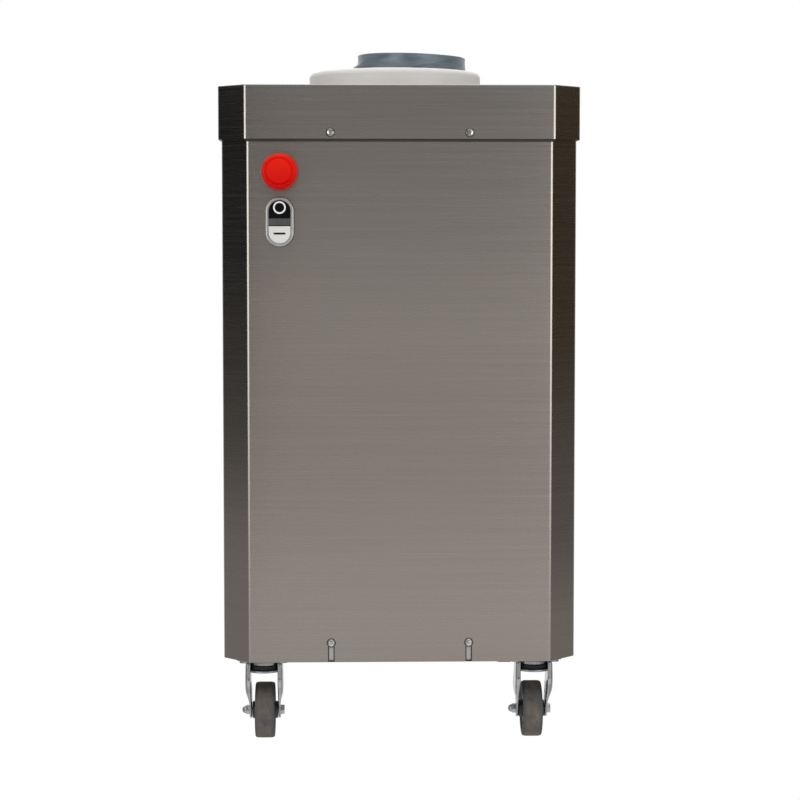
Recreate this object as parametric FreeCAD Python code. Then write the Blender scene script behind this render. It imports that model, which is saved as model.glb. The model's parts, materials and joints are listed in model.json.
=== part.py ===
"""Dough rounder: a stainless cabinet on four swivel casters. A belt-driven eccentric auger turns
inside a white plastic cylinder, lifts a piece of dough from the rear feed chute and rolls it into
a ball, which leaves over the collar on top. Millimetres, +Z up, front towards -Y, origin on the
floor under the auger's axis."""

import FreeCAD
import Part
import math
import os

V = FreeCAD.Vector
X_AXIS = V(1, 0, 0)
Y_AXIS = V(0, 1, 0)
Z_AXIS = V(0, 0, 1)

# ---- driving dimensions -------------------------------------------------------------------
CAP_W, CAP_D, CAP_CHAMFER = 380.0, 480.0, 29.0      # lid over the cabinet, seen from above
CAP_TOP, CAP_SKIRT, CAP_SHEET = 700.0, 56.0, 1.5
OVERHANG = 3.5                                      # how far the lid stands out past the panels
PANEL_SHEET, PANEL_BOTTOM, BEND_R = 1.2, 96.0, 4.5
FRAME_SHEET, FIT_GAP = 2.5, 0.2
COVER_RETURN = 16.0                                 # how far the front and rear covers wrap round each side
SEAM = 0.6                                          # gap between neighbouring panels
SCREW_X = 72.3                                      # front screws, left and right of the middle
SCREW_TOP_Z, SCREW_LOW_Z, SCREW_HEAD_R = 650.5, 116.5, 4.0
COLLAR_R, COLLAR_H, COLLAR_ROUND = 98.5, 29.5, 6.5
BORE_R, TUBE_R, FLANGE_BOLT_R = 82.8, 95.0, 104.0   # the cylinder's bore, outer wall and bolt circle
AUGER_TOP, AUGER_FOOT = 750.0, 460.0
ROTOR_R, ROTOR_OFFSET, ROTOR_PITCH = 62.0, 19.5, 120.0
ROTOR_STEPS = 20                                    # straight stretches in the helical column
SHAFT_R, SHAFT_FOOT, SHAFT_STUB = 12.5, 342.0, 60.0  # the drive shaft, and how far it stands in the auger
RECESS_R, RECESS_H, LIFT_R = 18.0, 12.0, 5.0        # well in the auger's top, and the thread under it
DECK_Z, DECK_T = 400.0, 5.0                         # the plate that carries the drive
MOTOR_Y = 152.0
PULLEY_BIG_R, PULLEY_SMALL_R = 96.0, 24.0
PULLEY_Z, PULLEY_H = 413.0, 16.0
ESTOP_X, ESTOP_Z, ESTOP_HEAD_R = -124.7, 609.7, 19.0
BUTTON_X, BUTTON_Z = -124.8, 558.1
BEZEL_W, BEZEL_H, BEZEL_RIM = 29.0, 51.0, 3.0
FRONT_REACH = 31.0                                  # e-stop in front and gland behind the panels
CASTER_X, CASTER_Y = 144.5, 191.5
WHEEL_R, WHEEL_W, TRAIL = 30.0, 21.0, 24.0
LEG_GAP, LEG_T = 28.8, 2.4                          # between a caster fork's legs, and their sheet
CROWN_Z, CUP_TOP_Z = 78.5, 84.3                     # underside of a caster fork's crown, and top of its cup
SHOULDER_R, SHOULDER_Z = 19.8, 90.5                 # the fork's shoulders beside the upper cup
CASTER_PLATE, CASTER_PLATE_T, CASTER_HOLE = 56.0, 2.5, 20.5
TOP_DECK_Z, FRAME_BAND = 688.0, 52.0                # plate and band just under the lid
TRAY_FLANGE, POST_WING = 30.0, 16.0
CHUTE_R, CHUTE_SHEET = 45.0, 1.5                    # feed chute, a tube that slopes down from the rear
CHUTE_SLOPE = math.tan(math.radians(25))
CHUTE_MOUTH_Z, CHUTE_FRAME = 572.0, 60.0
GLAND_X, GLAND_Z, GLAND_R, CORD_R = -120.0, 160.0, 9.8, 4.0
VENT_PITCH, VENT_ROWS = 12.0, (190.0, 260.0)
MOTOR_R, MOTOR_H = 56.0, 150.0
BOX_X, BOX_W, BOX_D, BOX_H = -50.0, 120.0, 70.0, 180.0   # control box on the base tray
RUN_GAP = 0.05                                      # radial clearance of a shaft in its bore

# ---- sizes that follow from them ----------------------------------------------------------
BODY_W, BODY_D = CAP_W - 2 * OVERHANG, CAP_D - 2 * OVERHANG
BODY_CHAMFER = CAP_CHAMFER - OVERHANG * (2 - math.sqrt(2)) + 1.0
PANEL_TOP = CAP_TOP - CAP_SHEET - 0.5
FRONT_Y = -BODY_D / 2
REAR_Y = BODY_D / 2
FRAME_INSET = PANEL_SHEET + FIT_GAP
COLLAR_TOP = CAP_TOP + COLLAR_H
CASTER_TOP = TRAY_Z = PANEL_BOTTOM + 0.5            # the casters bolt up against the tray's underside
MOTOR_Z = DECK_Z - 22.0 - MOTOR_H
CHUTE_DIR = V(0, 1, CHUTE_SLOPE).normalize()
SIDES = (("left", -1), ("right", 1))
CORNERS = [(f"{end}_{side}", sx, sy) for end, sy in (("front", -1), ("rear", 1)) for side, sx in SIDES]


def save(name, *solids):
    """Writes one node. Several solids become one group of separate solids."""
    shape = solids[0] if len(solids) == 1 else Part.makeCompound(list(solids))
    if not shape.isValid():
        print("not valid:", name)
    shape.exportStep(f"parts/{name}.step")


def fuse(first, *others):
    return first.fuse(list(others)).removeSplitter()


def box(x0, x1, y0, y1, z0, z1):
    return Part.makeBox(x1 - x0, y1 - y0, z1 - z0, V(x0, y0, z0))


def rod(r, start, length, axis=Z_AXIS):
    return Part.makeCylinder(r, length, V(*start), axis)


def ring(outer, inner, start, length, axis=Z_AXIS):
    return rod(outer, start, length, axis).cut(rod(inner, start, length, axis))


def face_of(points, radius=0.0):
    """A closed flat face through the points, each corner rounded with one radius."""
    count = len(points)
    edges, starts, ends, mids = [], [], [], []
    for i, point in enumerate(points):
        before = (points[i - 1] - point).normalize()
        after = (points[(i + 1) % count] - point).normalize()
        half = before.getAngle(after) / 2
        reach = radius / math.tan(half)
        inward = (before + after).normalize()
        starts.append(point + before * reach)
        ends.append(point + after * reach)
        mids.append(point + inward * (radius / math.sin(half) - radius))
    for i in range(count):
        if radius > 0:
            edges.append(Part.Arc(starts[i], mids[i], ends[i]).toShape())
        edges.append(Part.LineSegment(ends[i], starts[(i + 1) % count]).toShape())
    return Part.Face(Part.Wire(edges))


def octagon(width, depth, chamfer, inset, z, height, radius=0.0):
    """A prism over a rectangle with chamfered corners, its walls moved inwards by inset."""
    w, d = width / 2 - inset, depth / 2 - inset
    c = chamfer - inset * (2 - math.sqrt(2))
    quarter = [(w - c, -d), (w, c - d), (w, d - c), (w - c, d)]
    plan = quarter + [(-x, y) for x, y in reversed(quarter)]
    return face_of([V(x, y, z) for x, y in plan], radius).extrude(V(0, 0, height))


def body_prism(inset, z, height, radius=0.0):
    return octagon(BODY_W, BODY_D, BODY_CHAMFER, inset, z, height, radius)


def frame_ring(z, height, sheet=FRAME_SHEET):
    """A bent band just inside the panels."""
    outer = body_prism(FRAME_INSET, z, height, 2.5)
    return outer.cut(body_prism(FRAME_INSET + sheet, z, height))


def stadium(width, height, y, depth, x=BUTTON_X, z=BUTTON_Z):
    """A slot-shaped prism that stands upright in XZ and runs along +Y."""
    r, half = width / 2, height / 2 - width / 2
    shape = box(x - r, x + r, y, y + depth, z - half, z + half)
    ends = [rod(r, (x, y, z + s * half), depth, Y_AXIS) for s in (-1, 1)]
    return shape.fuse(ends).removeSplitter()


def turned(profile, origin, axis):
    """A solid of revolution. The profile is (radius, distance along the axis) pairs."""
    face = Part.Face(Part.makePolygon([V(r, 0, h) for r, h in [*profile, profile[0]]]))
    solid = face.revolve(V(0, 0, 0), Z_AXIS, 360)
    solid.rotate(V(0, 0, 0), FreeCAD.Rotation(Z_AXIS, axis).Axis, math.degrees(Z_AXIS.getAngle(axis)))
    solid.translate(V(*origin))
    return solid


def hexagon(across, start, height, axis=Z_AXIS):
    """A hexagonal prism along +X, +Y or +Z."""
    corner = across / math.sqrt(3)
    side, up = (V(0, 1, 0), V(0, 0, 1)) if axis.x else (X_AXIS, V(0, 0, 1) if axis.y else Y_AXIS)
    angles = [math.radians(60 * i) for i in range(6)]
    points = [V(*start) + side * (corner * math.cos(a)) + up * (corner * math.sin(a)) for a in angles]
    return face_of(points).extrude(axis * height)


# ---- cabinet ------------------------------------------------------------------------------
def panel_screw(x, z, seat_y, side=-1, shank=9.0):
    """A pan head screw whose head rests on a panel at seat_y and whose shank runs into it."""
    head_h, recess = 3.0, 1.3
    head = turned([(0, 0), (SCREW_HEAD_R, 0), (SCREW_HEAD_R, 1.2), (3.0, 2.5), (1.2, head_h), (0, head_h)],
                  (x, seat_y, z), V(0, side, 0))
    tip = seat_y + side * head_h
    slots = [box(x - a, x + a, min(tip, tip - side * recess), max(tip, tip - side * recess), z - b, z + b)
             for a, b in ((2.0, 0.45), (0.45, 2.0))]
    stem = rod(1.9, (x, seat_y, z), shank, V(0, -side, 0))
    return head.cut(slots).fuse(stem).removeSplitter()


def screw_holes(y0, y1):
    """Rods between y0 and y1 that cut clearance holes for the screws at both heights."""
    places = [(x, z) for z in (SCREW_TOP_Z, SCREW_LOW_Z) for x in (SCREW_X, -SCREW_X)]
    return [rod(2.0, (x, y0, z), y1 - y0, Y_AXIS) for x, z in places]


def make_cabinet():
    tall = PANEL_TOP - PANEL_BOTTOM
    shell = body_prism(0, PANEL_BOTTOM, tall, BEND_R)
    shell = shell.cut(body_prism(PANEL_SHEET, PANEL_BOTTOM - 1, tall + 2, BEND_R - PANEL_SHEET))
    seam_y = BODY_D / 2 - BODY_CHAMFER - COVER_RETURN
    wide, deep = BODY_W / 2 + 1, BODY_D / 2 + 1
    front = shell.common(box(-wide, wide, -deep, -seam_y, 0, CAP_TOP))
    rear = shell.common(box(-wide, wide, seam_y, deep, 0, CAP_TOP))
    for name, side in SIDES:
        x0, x1 = sorted((0, side * wide))
        save(f"side_panel_{name}", shell.common(box(x0, x1, SEAM - seam_y, seam_y - SEAM, 0, CAP_TOP)))

    slots = []
    for x in (-SCREW_X, SCREW_X):
        slots.append(box(x - 3.5, x + 3.5, FRONT_Y - 1, FRONT_Y + 3, 0, SCREW_LOW_Z - 1))
        slots.append(rod(3.5, (x, FRONT_Y - 1, SCREW_LOW_Z - 1), 4, Y_AXIS))
        slots.append(rod(2.0, (x, FRONT_Y - 1, SCREW_TOP_Z), 4, Y_AXIS))
    slots.append(rod(11.2, (ESTOP_X, FRONT_Y - 1, ESTOP_Z), 4, Y_AXIS))
    slots.append(rod(11.2, (BUTTON_X, FRONT_Y - 1, BUTTON_Z), 4, Y_AXIS))
    save("front_cover", front.cut(slots))

    vents = [stadium(5, 46, REAR_Y - 3, 6, VENT_PITCH * i, z) for i in range(-6, 7) for z in VENT_ROWS]
    holes = vents + [
        chute_rod(CHUTE_R + 0.2),
        rod(GLAND_R + 0.15, (GLAND_X, REAR_Y - 5, GLAND_Z), 10, Y_AXIS),
        rod(2.0, (SCREW_X, REAR_Y - 5, SCREW_TOP_Z), 10, Y_AXIS),
        rod(2.0, (-SCREW_X, REAR_Y - 5, SCREW_TOP_Z), 10, Y_AXIS),
    ]
    save("rear_cover", rear.cut(holes))

    lid = octagon(CAP_W, CAP_D, CAP_CHAMFER, 0, CAP_TOP - CAP_SKIRT, CAP_SKIRT, BEND_R)
    rim = [e for e in lid.Edges if abs(e.BoundBox.ZMin - CAP_TOP) < 0.01 and e.BoundBox.ZLength < 0.01]
    lid = lid.makeFillet(1.2, rim)
    lid = lid.cut(octagon(CAP_W, CAP_D, CAP_CHAMFER, CAP_SHEET, 0, CAP_TOP - CAP_SHEET, BEND_R - CAP_SHEET))
    holes = [rod(TUBE_R + 0.3, (0, 0, CAP_TOP - 9), 18)]
    for x in (-SCREW_X, SCREW_X):
        holes.append(rod(2.0, (x, -CAP_D / 2 - 1, SCREW_TOP_Z), CAP_D + 2, Y_AXIS))
    save("top_cap", lid.cut(holes))

    cap_face = CAP_D / 2
    screws = [panel_screw(x, SCREW_TOP_Z, side * cap_face, side, 13.0)
              for side in (-1, 1) for x in (-SCREW_X, SCREW_X)]
    screws += [panel_screw(x, SCREW_LOW_Z, FRONT_Y, -1, 9.0) for x in (-SCREW_X, SCREW_X)]
    save("cover_screws", *screws)


def make_frame():
    tray = body_prism(FRAME_INSET, TRAY_Z, TRAY_FLANGE, 2.5)
    tray = tray.cut(body_prism(FRAME_INSET + FRAME_SHEET, TRAY_Z + FRAME_SHEET, TRAY_FLANGE))
    bolts = [rod(3.1, (bx, by, TRAY_Z - 1), 5)
             for _, sx, sy in CORNERS for bx, by in caster_bolt_spots(sx * CASTER_X, sy * CASTER_Y)]
    save("base_tray", tray.cut(bolts + screw_holes(FRONT_Y, FRONT_Y + 6)))

    band = frame_ring(PANEL_TOP - FRAME_BAND, FRAME_BAND - 0.5)
    deck = body_prism(FRAME_INSET + FRAME_SHEET, TOP_DECK_Z, 3)
    holes = [rod(TUBE_R + 0.3, (0, 0, TOP_DECK_Z - 1), 5)]
    holes += [rod(2.6, (*spot, TOP_DECK_Z - 1), 5) for spot in bolt_circle(FLANGE_BOLT_R)]
    clear = [rod(2.0, (x, -BODY_D, SCREW_TOP_Z), 2 * BODY_D, Y_AXIS) for x in (-SCREW_X, SCREW_X)]
    save("top_band", band.cut(clear))
    save("top_deck", deck.cut(holes))

    post_z = TRAY_Z + TRAY_FLANGE
    posts = frame_ring(post_z, PANEL_TOP - FRAME_BAND - post_z)
    reach_x, reach_y = BODY_W / 2 - BODY_CHAMFER - POST_WING, BODY_D / 2 - BODY_CHAMFER - POST_WING
    uprights = []
    for _, sx, sy in CORNERS:
        x0, x1 = sorted((sx * reach_x, sx * BODY_W))
        y0, y1 = sorted((sy * reach_y, sy * BODY_D))
        uprights.append(posts.common(box(x0, x1, y0, y1, 0, CAP_TOP)))
    save("uprights", *uprights)

    plate = body_prism(FRAME_INSET + FRAME_SHEET, DECK_Z, DECK_T)
    cuts = [rod(20.0, (0, 0, DECK_Z - 1), 8), rod(19.0, (0, MOTOR_Y, DECK_Z - 1), 8)]
    cuts.append(box(-150, -60, -200, -100, DECK_Z - 1, DECK_Z + 8))
    cuts += [rod(3.3, (x, y, DECK_Z - 1), 8) for x, y in bolt_circle(38) + bolt_circle(50, MOTOR_Y)]
    save("drive_deck", plate.cut(cuts))


def bolt_circle(radius, y=0.0, count=4):
    angles = [math.radians(45 + 360 / count * i) for i in range(count)]
    return [(radius * math.cos(a), y + radius * math.sin(a)) for a in angles]


# ---- rounding head ------------------------------------------------------------------------
def chute_rod(radius):
    """A long rod along the feed chute's axis, which meets the auger's axis low in the cylinder."""
    return rod(radius, (0, 0, CHUTE_MOUTH_Z - REAR_Y * CHUTE_SLOPE), 400, CHUTE_DIR)


def eccentric_column(radius, z0, z1, at_z):
    """A level circle carried up a right-handed helix, its centre towards +X at height at_z."""
    circles = []
    for i in range(ROTOR_STEPS + 1):
        z = z0 + (z1 - z0) * i / ROTOR_STEPS
        turn = math.radians(360 * (z - at_z) / ROTOR_PITCH)
        centre = V(ROTOR_OFFSET * math.cos(turn), ROTOR_OFFSET * math.sin(turn), z)
        circles.append(Part.Wire(Part.makeCircle(radius, centre, Z_AXIS)))
    return Part.makeLoft(circles, True, True)


def make_rounding_head():
    sleeve = ring(TUBE_R, BORE_R, (0, 0, AUGER_FOOT - 14), CAP_TOP - AUGER_FOOT + 14)
    sleeve = sleeve.fuse(ring(115, TUBE_R - 1, (0, 0, TOP_DECK_Z - 8), 8))
    sleeve = sleeve.fuse(ring(TUBE_R - 1, SHAFT_R + 4.5, (0, 0, AUGER_FOOT - 14), 8)).removeSplitter()
    window = chute_rod(CHUTE_R - CHUTE_SHEET).common(box(-80, 80, 20, 150, AUGER_FOOT - 4, TOP_DECK_Z - 8))
    threads = [rod(2.1, (*spot, TOP_DECK_Z - 9), 10) for spot in bolt_circle(FLANGE_BOLT_R)]
    save("rounding_cylinder", sleeve.cut([window, *threads]))

    profile = [(BORE_R, 0), (COLLAR_R, 0), (COLLAR_R, 3.0), (COLLAR_R - 0.6, 3.6), (COLLAR_R - 0.6, COLLAR_H),
               (BORE_R, COLLAR_H)]
    collar = turned(profile, (0, 0, CAP_TOP), Z_AXIS)
    rim = [e for e in collar.Edges if abs(e.BoundBox.ZMin - COLLAR_TOP) < 0.01 and e.BoundBox.ZLength < 0.01]
    outer = [e for e in rim if e.BoundBox.XMax > BORE_R + 1]
    inner = [e for e in rim if e.BoundBox.XMax < BORE_R + 1]
    save("exit_collar", collar.makeFillet(COLLAR_ROUND, outer).makeFillet(1.5, inner))

    bolts = [fuse(hexagon(8, (*spot, TOP_DECK_Z + 3), 3.2), rod(2.0, (*spot, TOP_DECK_Z - 6), 10))
             for spot in bolt_circle(FLANGE_BOLT_R)]
    save("cylinder_bolts", *bolts)

    outside = chute_rod(CHUTE_R)
    pipe = outside.cut(chute_rod(CHUTE_R - CHUTE_SHEET)).common(box(-80, 80, 30, REAR_Y + 2, 0, CAP_TOP))
    pipe = pipe.cut(rod(TUBE_R + 0.2, (0, 0, 0), CAP_TOP))
    frame = box(-CHUTE_FRAME, CHUTE_FRAME, REAR_Y, REAR_Y + 2,
                CHUTE_MOUTH_Z - CHUTE_FRAME, CHUTE_MOUTH_Z + CHUTE_FRAME)
    uprights = [e for e in frame.Edges if e.BoundBox.YLength > 1]
    frame = frame.makeFillet(6.0, uprights)
    save("feed_chute", fuse(pipe, frame.cut(outside)))


def make_auger():
    """The eccentric auger lifts off the shaft's stub for cleaning, by a plug screwed into its level head."""
    column = eccentric_column(ROTOR_R, AUGER_FOOT, COLLAR_TOP - 2, COLLAR_TOP - 2)
    head = rod(ROTOR_R, (ROTOR_OFFSET, 0, COLLAR_TOP - 2), AUGER_TOP - COLLAR_TOP + 2)
    rim = [e for e in head.Edges if abs(e.BoundBox.ZMin - AUGER_TOP) < 0.01 and e.BoundBox.ZLength < 0.01]
    head = head.makeFillet(1.0, rim)
    seat, thread = AUGER_TOP - RECESS_H, 18.0
    socket = rod(SHAFT_R, (0, 0, AUGER_FOOT - 1), SHAFT_STUB + 1)
    recess = rod(RECESS_R, (0, 0, seat), RECESS_H + 1)
    hole = rod(LIFT_R, (0, 0, seat - thread), thread + 1)
    save("auger", column.fuse(head).cut([socket, recess, hole]))

    shaft = rod(SHAFT_R, (0, 0, SHAFT_FOOT), AUGER_FOOT + SHAFT_STUB - SHAFT_FOOT)
    save("drive_shaft", fuse(shaft, rod(SHAFT_R + 3, (0, 0, AUGER_FOOT - 5), 5)))

    stem = rod(LIFT_R, (0, 0, seat - thread), thread)
    save("lifting_plug", fuse(rod(LIFT_R + 9, (0, 0, seat), 2.5), hexagon(18, (0, 0, seat + 2.5), 7.0), stem))

    save("driven_pulley", pulley(0, PULLEY_BIG_R, SHAFT_R))


def pulley(y, radius, bore):
    """A flat-rimmed belt wheel between two flanges; the belt lies in the channel between them."""
    lip, low = 2.5, PULLEY_Z
    wheel = rod(radius, (0, y, low), PULLEY_H)
    flanges = [rod(radius + 4, (0, y, low), lip), rod(radius + 4, (0, y, low + PULLEY_H - lip), lip)]
    wheel = fuse(wheel, *flanges)
    cuts = [rod(bore, (0, y, low - 1), PULLEY_H + 2)]
    if radius > 60:
        for i in range(5):
            a = math.radians(72 * i + 36)
            cuts.append(rod(20, (58 * math.cos(a), y + 58 * math.sin(a), low - 1), PULLEY_H + 2))
    return wheel.cut(cuts)


# ---- drive --------------------------------------------------------------------------------
def belt_loop(grow, z, height):
    """The prism round both pulleys, its sides tangent to circles grown by the given amount."""
    big, small = PULLEY_BIG_R + grow, PULLEY_SMALL_R + grow
    lean = math.asin((big - small) / MOTOR_Y)
    c, s = math.cos(lean), math.sin(lean)
    corners = [V(big * c, big * s, z), V(small * c, MOTOR_Y + small * s, z),
               V(-small * c, MOTOR_Y + small * s, z), V(-big * c, big * s, z)]
    edges = [
        Part.LineSegment(corners[0], corners[1]).toShape(),
        Part.Arc(corners[1], V(0, MOTOR_Y + small, z), corners[2]).toShape(),
        Part.LineSegment(corners[2], corners[3]).toShape(),
        Part.Arc(corners[3], V(0, -big, z), corners[0]).toShape(),
    ]
    return Part.Face(Part.Wire(edges)).extrude(V(0, 0, height))


def make_drive():
    low, high = PULLEY_Z + 3.0, PULLEY_Z + PULLEY_H - 3.0
    save("drive_belt", belt_loop(3.2, low, high - low).cut(belt_loop(0.3, low - 1, high - low + 2)))

    house = ring(32, 21, (0, 0, DECK_Z - 58), 58).fuse(ring(48, 21, (0, 0, DECK_Z - 8), 8)).removeSplitter()
    house = house.fuse(ring(32, 17, (0, 0, DECK_Z - 34), 6)).removeSplitter()
    save("bearing_housing", house.cut([rod(3.3, (*spot, DECK_Z - 9), 10) for spot in bolt_circle(38)]))
    bearings = [ring(20.95, SHAFT_R + RUN_GAP, (0, 0, z), 14) for z in (DECK_Z - 56, DECK_Z - 15)]
    save("shaft_bearings", *bearings)

    make_motor()


def make_motor():
    """The motor stands on its head under the deck, with its fan below."""
    low, high, axis = MOTOR_Z, MOTOR_Z + MOTOR_H, (0, MOTOR_Y)
    bore = rod(8 + RUN_GAP, (*axis, low - 10), DECK_Z - low + 20)
    shell = ring(MOTOR_R, 50.2, (*axis, low), MOTOR_H).fuse(rod(MOTOR_R, (*axis, low - 8), 8))
    fins = around([box(55, 61, -1.1, 1.1, low + 4, high - 4)], 24)
    save("motor_housing", fuse(shell, *fins).cut(bore))
    save("stator_core", ring(50.2, 30.5, (*axis, low + 35), 80))

    nose = fuse(rod(58, (*axis, high), 14), rod(64, (*axis, DECK_Z - 8), 8))
    feet = [rod(2.9, (x, y, DECK_Z - 9), 10) for x, y in bolt_circle(50, MOTOR_Y)]
    save("motor_flange", nose.cut([bore, *feet]))

    cowl = fuse(ring(59, 57.5, (*axis, low - 44), 48), rod(59, (*axis, low - 45.5), 1.5),
                ring(58, MOTOR_R, (*axis, low), 2))
    spokes = [box(-60, 60, MOTOR_Y - 3, MOTOR_Y + 3, 0, CAP_TOP),
              box(-3, 3, MOTOR_Y - 60, MOTOR_Y + 60, 0, CAP_TOP)]
    grille = [ring(48 - 9 * i, 44 - 9 * i, (*axis, low - 47), 5).cut(spokes) for i in range(4)]
    save("fan_cowl", cowl.cut(grille))

    case = box(58, 96, MOTOR_Y - 38, MOTOR_Y + 38, low + 30, low + 116)
    case = case.cut(box(64.5, 93.5, MOTOR_Y - 35, MOTOR_Y + 35, low + 33, low + 113))
    around_motor = [rod(MOTOR_R, (*axis, low), MOTOR_H), *fins]
    save("terminal_box", max(case.cut(around_motor).Solids, key=lambda solid: solid.Volume))

    shaft = rod(8, (*axis, low - 38), PULLEY_Z + PULLEY_H + 2 - low + 38)
    save("motor_rotor", fuse(shaft, rod(30, (*axis, low + 33), 84)))
    save("motor_pulley", pulley(MOTOR_Y, PULLEY_SMALL_R, 8))
    hub = ring(14, 8, (*axis, low - 38), 18)
    save("cooling_fan", fuse(hub, *around([box(12, 52, -1, 1, low - 36, low - 22)], 8)))


def around(shapes, count):
    """Copies of the shapes, spread evenly round the motor's axis. They are given about the Z axis."""
    copies = []
    for i in range(count):
        for shape in shapes:
            turn = shape.copy()
            turn.rotate(V(0, 0, 0), Z_AXIS, 360 / count * i)
            turn.translate(V(0, MOTOR_Y, 0))
            copies.append(turn)
    return copies


# ---- controls -----------------------------------------------------------------------------
def make_controls():
    save("contact_blocks", make_emergency_stop(), make_double_button())
    make_control_box()
    make_cable_gland()


def make_control_box():
    """The box stands on the tray behind the front cover, with its lid towards the rear."""
    low, high = TRAY_Z + FRAME_SHEET, TRAY_Z + FRAME_SHEET + BOX_H
    x0, x1, y0, y1 = BOX_X - BOX_W / 2, BOX_X + BOX_W / 2, FRONT_Y + 12, FRONT_Y + 12 + BOX_D
    case = box(x0, x1, y0, y1, low, high).cut(box(x0 + 2, x1 - 2, y0 + 2, y1 + 1, low + 2, high - 2))
    save("control_box", case)
    save("control_box_lid", box(x0, x1, y1, y1 + 3, low, high))
    block = box(x0 + 20, x0 + 65, y0 + 2, y0 + 50, low + 60, low + 135)
    steps = [box(x0 + 19, x0 + 66, y0 + 37, y0 + 52, z, z + 16) for z in (low + 59, low + 120)]
    save("contactor", block.cut(steps))


def make_cable_gland():
    at = (GLAND_X, REAR_Y, GLAND_Z)
    barrel = rod(GLAND_R, (GLAND_X, REAR_Y - 9, GLAND_Z), 15, Y_AXIS)
    nut = hexagon(26, at, 9, Y_AXIS)
    neck = rod(11.5, (GLAND_X, REAR_Y + 9, GLAND_Z), 3, Y_AXIS)
    dome_h = FRONT_REACH - 12
    dome = turned([(0, 0), (13, 0), (13, dome_h - 7), (9.5, dome_h), (0, dome_h)],
                  (GLAND_X, REAR_Y + FRONT_REACH - dome_h, GLAND_Z), Y_AXIS)
    inner_nut = ring(15, GLAND_R, (GLAND_X, REAR_Y - 6.2, GLAND_Z), 5, Y_AXIS)
    hole = rod(CORD_R, (GLAND_X, REAR_Y - 20, GLAND_Z), 60, Y_AXIS)
    save("cable_gland", fuse(barrel, nut, neck, dome, inner_nut).cut(hole))


def make_emergency_stop():
    y = FRONT_Y
    at = (ESTOP_X, y, ESTOP_Z)
    flange = turned([(8.3, 0), (14.5, 0), (14.5, 1.5), (13.5, 3.0), (8.3, 3.0)], at, V(0, -1, 0))
    neck = ring(11, 8.3, at, 14, Y_AXIS)
    nut = ring(14, 11, (ESTOP_X, y + PANEL_SHEET, ESTOP_Z), 4, Y_AXIS)
    save("estop_base", fuse(flange, neck, nut))
    stem = rod(4.0, (ESTOP_X, y - 16, ESTOP_Z), 30, Y_AXIS)
    save("estop_stem", fuse(stem, rod(8.0, (ESTOP_X, y - 9.5, ESTOP_Z), 18, Y_AXIS)))
    reach, r, socket = FRONT_REACH, ESTOP_HEAD_R, 4.0 + RUN_GAP
    outline = [(socket, 10), (9.5, 10), (11.5, 12.5), (r - 1.5, 15.5), (r - 0.3, 17.5), (r, 20), (r - 0.5, 23),
               (r - 2, 26.5), (r - 3.8, 29.2), (r - 5.2, reach - 0.3), (r - 6.2, reach - 0.6), (r - 8, reach),
               (0, reach), (0, 17), (socket, 17)]
    save("estop_head", turned(outline, at, V(0, -1, 0)))
    block = box(ESTOP_X - 15, ESTOP_X + 15, y + 14, y + 46, ESTOP_Z - 18, ESTOP_Z + 21)
    return block.cut(rod(5.0, (ESTOP_X, y + 10, ESTOP_Z), 20, Y_AXIS))


def make_double_button():
    """The bezel holds a black stop button above and a white start button below a lens."""
    y, x, z, proud = FRONT_Y, BUTTON_X, BUTTON_Z, 9.0
    inner_w, inner_h = BEZEL_W - 2 * BEZEL_RIM, BEZEL_H - 2 * BEZEL_RIM
    bezel = stadium(BEZEL_W, BEZEL_H, y - proud, proud - 0.02)
    rim = [e for e in bezel.Edges if abs(e.BoundBox.YMin - (y - proud)) < 0.01 and e.BoundBox.YLength < 0.01]
    bezel = bezel.makeFillet(1.2, rim).cut(stadium(inner_w, inner_h, y - proud - 1, proud - 0.5))
    neck = rod(11, (x, y - 1, z), 12, Y_AXIS)
    nut = ring(14, 10.5, (x, y + PANEL_SHEET, z), 4, Y_AXIS)
    lens_half, cap_start, gap = 3.6, 4.45, 0.25
    stems = [rod(2.55, (x, y - 8, z + s * 7.6), 20, Y_AXIS) for s in (-1, 1)]
    save("button_bezel", fuse(bezel, neck, nut).cut(stems))
    lens = box(x - inner_w / 2, x + inner_w / 2, y - proud + 0.6, y - 1.52, z - lens_half, z + lens_half)
    save("button_lens", lens)
    well = stadium(inner_w - 2 * gap, inner_h - 2 * gap, y - proud - 1.2, proud - 3.3)
    wide = inner_w
    for name, s in (("stop_button", 1), ("start_button", -1)):
        z0, z1 = sorted((z + s * cap_start, z + s * inner_h))
        cap = well.common(box(x - wide, x + wide, y - 20, y, z0, z1))
        front = y - proud - 1.2
        face = [e for e in cap.Edges if abs(e.BoundBox.YMin - front) < 0.01 and e.BoundBox.YLength < 0.01]
        stem = rod(2.4, (x, y - 6, z + s * 7.6), 17.5, Y_AXIS)
        save(name, cap.makeFillet(0.8, face).fuse(stem).removeSplitter())
    block = box(x - 14, x + 14, y + 11, y + 44, z - 18, z + 12)
    return block.cut([rod(3.0, (x, y + 10, z + s * 7.6), 5, Y_AXIS) for s in (-1, 1)])


# ---- casters ------------------------------------------------------------------------------
def make_casters():
    plates, bolts = [], []
    for name, sx, sy in CORNERS:
        x, y = sx * CASTER_X, sy * CASTER_Y
        plates.append(caster_plate(x, y))
        for spot in caster_bolt_spots(x, y):
            head = rod(5.0, (*spot, CASTER_TOP - CASTER_PLATE_T - 3), 3)
            nut = hexagon(10, (*spot, CASTER_TOP + FRAME_SHEET), 4.5)
            bolts.append(fuse(head, rod(2.9, (*spot, CASTER_TOP - 4), 11), nut))
        save(f"caster_fork_{name}", caster_fork(x, y))
        save(f"caster_axle_{name}", caster_axle(x, y + TRAIL))
        save(f"caster_hub_{name}", caster_hub(x, y + TRAIL))
        save(f"caster_tyre_{name}", caster_tyre(x, y + TRAIL))
    save("caster_plates", *plates)
    save("caster_bolts", *bolts)


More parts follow.
